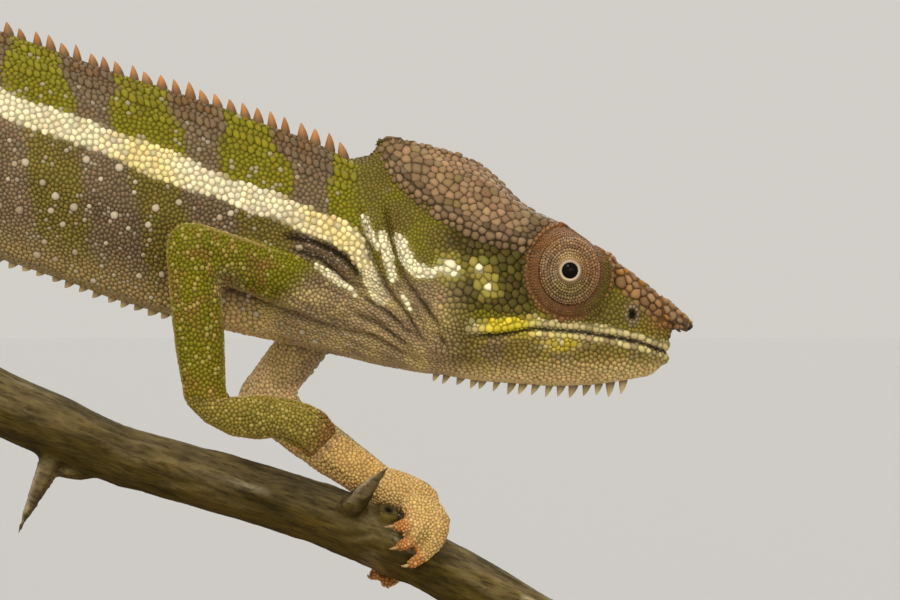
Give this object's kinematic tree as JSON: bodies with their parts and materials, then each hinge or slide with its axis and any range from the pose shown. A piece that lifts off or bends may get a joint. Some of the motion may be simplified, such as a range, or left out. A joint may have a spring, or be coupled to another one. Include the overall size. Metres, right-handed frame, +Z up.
{
  "type": "panther chameleon model",
  "caption": "Life-size still model of a male panther chameleon stepping down a thorny branch, held by a plain display stand.",
  "frame": {"origin": "middle of the display stand's underside, on the floor", "axes": "+X towards the snout, -Y on the animal's right side, +Z up"},
  "size_m": [0.2551, 0.092, 0.1492],
  "materials": {
    "skin_green": "granular scales, green bars on grey-brown with a cream side stripe",
    "skin_head": "horny plates on the casque, granular scales on cheeks and lids",
    "skin_limb": "fine granular scales, green to orange-brown",
    "eye": "wet gloss",
    "claw": "satin horn",
    "bark": "rough bark with thorns",
    "stand_wood": "pale oiled ash",
    "stand_steel": "brushed"
  },
  "bodies": {
    "root": {"casque": "skin_head", "head": "skin_head", "lower_jaw": "skin_head", "eye_turret_left": "skin_head", "eye_turret_right": "skin_head", "trunk": "skin_green", "hips": "skin_green", "perch": "bark", "stand_base": "stand_wood", "stand_rod_front": "stand_steel", "stand_rod_rear": "stand_steel", "eyeball_left": "eye", "eyeball_right": "eye", "tail_1": "skin_green", "tail_2": "skin_green", "tail_3": "skin_green", "tail_4": "skin_green", "tail_5": "skin_green", "upper_arm_left": "skin_limb", "forearm_left": "skin_limb", "hand_left": "skin_limb", "thigh_left": "skin_limb", "shank_left": "skin_limb", "foot_left": "skin_limb", "upper_arm_right": "skin_limb", "forearm_right": "skin_limb", "hand_right": "skin_limb", "thigh_right": "skin_limb", "shank_right": "skin_limb", "foot_right": "skin_limb", "claw_hand_left_1": "claw", "claw_hand_left_2": "claw", "claw_hand_left_3": "claw", "claw_hand_left_4": "claw", "claw_hand_left_5": "claw", "claw_hand_right_1": "claw", "claw_hand_right_2": "claw", "claw_hand_right_3": "claw", "claw_hand_right_4": "claw", "claw_hand_right_5": "claw", "claw_foot_left_1": "claw", "claw_foot_left_2": "claw", "claw_foot_left_3": "claw", "claw_foot_left_4": "claw", "claw_foot_left_5": "claw", "claw_foot_right_1": "claw", "claw_foot_right_2": "claw", "claw_foot_right_3": "claw", "claw_foot_right_4": "claw", "claw_foot_right_5": "claw"}
  },
  "joints": []
}
